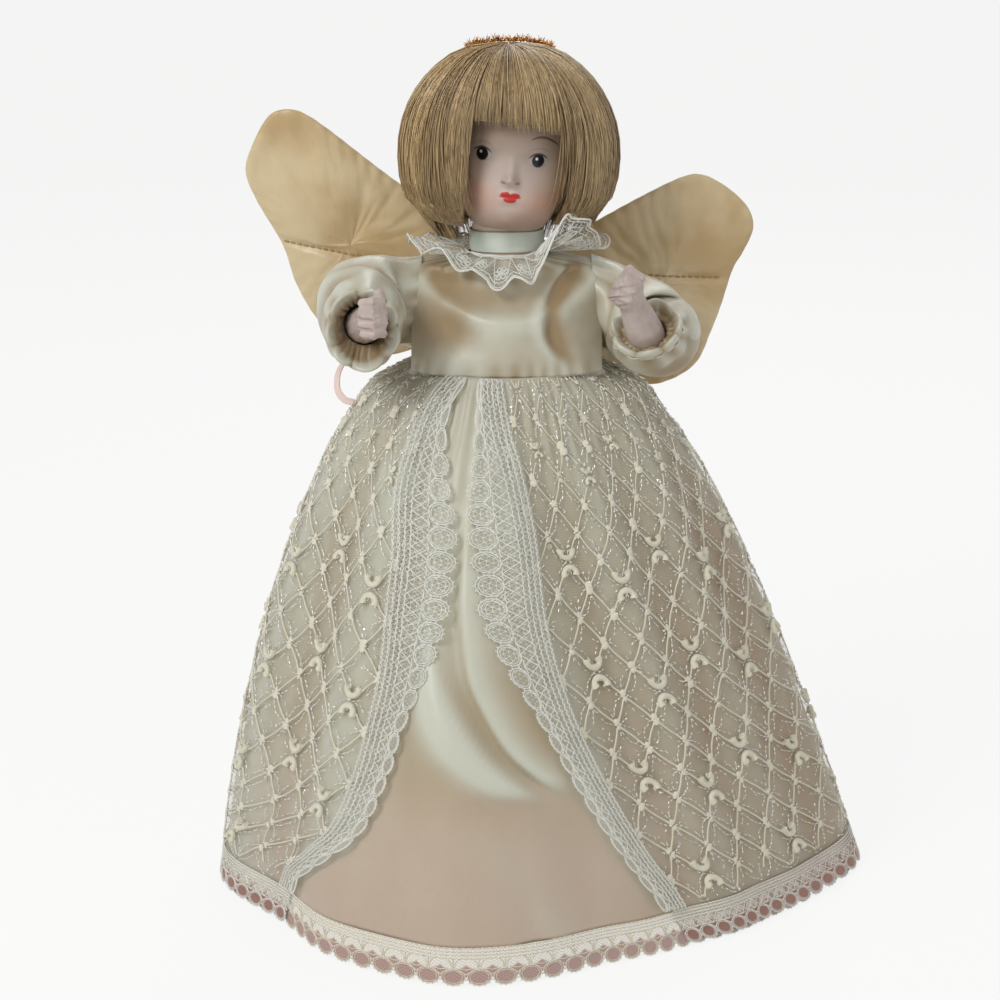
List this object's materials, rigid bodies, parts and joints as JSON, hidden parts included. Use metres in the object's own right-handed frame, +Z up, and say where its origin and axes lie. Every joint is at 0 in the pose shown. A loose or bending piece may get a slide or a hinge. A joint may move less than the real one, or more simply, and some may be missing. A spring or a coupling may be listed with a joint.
{
  "type": "porcelain angel doll tree topper",
  "caption": "Angel doll in a gathered satin gown over a card cone, with bisque head and hands, bobbed hair, lace collar, padded wings and wired arms.",
  "frame": {"origin": "middle of the hem's footprint, on the surface the doll stands on", "axes": "+Z up, the doll faces -Y, its own right arm is at -X"},
  "size_m": [0.2333, 0.2035, 0.299],
  "materials": {
    "satin": "polyester satin, ivory",
    "wing_satin": "padded satin, warm ivory",
    "tulle": "sheer net with embroidered lattice and silver glitter",
    "lace": "scalloped cotton lace",
    "ribbon": "narrow satin ribbon",
    "bisque": "unglazed painted porcelain",
    "hair": "synthetic mohair, dark blonde",
    "cap_cloth": "wig net",
    "tinsel": "twisted tinsel wire",
    "card": "pressed card",
    "stuffing": "stuffed cotton",
    "steel": "soft iron wire"
  },
  "bodies": {
    "doll": {"topper_cone": "card", "torso_padding": "stuffing", "bisque_head": "bisque", "wig_cap": "cap_cloth", "hair_bob": "hair", "hair_fringe": "hair", "halo": "tinsel", "neck_choker": "ribbon", "lace_collar": "lace", "bodice": "satin", "shoulder_wire": "steel", "underskirt": "satin", "underskirt_lace": "lace", "overskirt": "tulle", "overskirt_hem_lace": "lace", "right_edge_lace": "lace", "left_edge_lace": "lace", "wing_tab": "wing_satin", "ribbon_loop": "ribbon"},
    "right_arm": {"right_arm_wire": "steel", "right_forearm": "bisque", "right_sleeve": "satin", "right_cuff": "satin"},
    "left_arm": {"left_arm_wire": "steel", "left_forearm": "bisque", "left_sleeve": "satin", "left_cuff": "satin"},
    "right_wing": {"right_wing": "wing_satin"},
    "left_wing": {"left_wing": "wing_satin"}
  },
  "joints": [
    {"name": "right_shoulder", "type": "hinge", "parent": "doll", "child": "right_arm", "pos_m": [-0.0464, -0.0023, 0.211], "axis": [-1, 0, 0], "range_deg": [-15, 60]},
    {"name": "left_shoulder", "type": "hinge", "parent": "doll", "child": "left_arm", "pos_m": [0.0198, -0.0023, 0.211], "axis": [-1, 0, 0], "range_deg": [0, 60]},
    {"name": "right_wing_fold", "type": "hinge", "parent": "doll", "child": "right_wing", "pos_m": [-0.01615, 0.0292, 0.2179], "axis": [-0.1386, 0.0872, -0.9865], "range_deg": [0, 35]},
    {"name": "left_wing_fold", "type": "hinge", "parent": "doll", "child": "left_wing", "pos_m": [-0.01045, 0.0292, 0.2171], "axis": [0.1386, -0.0872, 0.9865], "range_deg": [0, 35]}
  ]
}
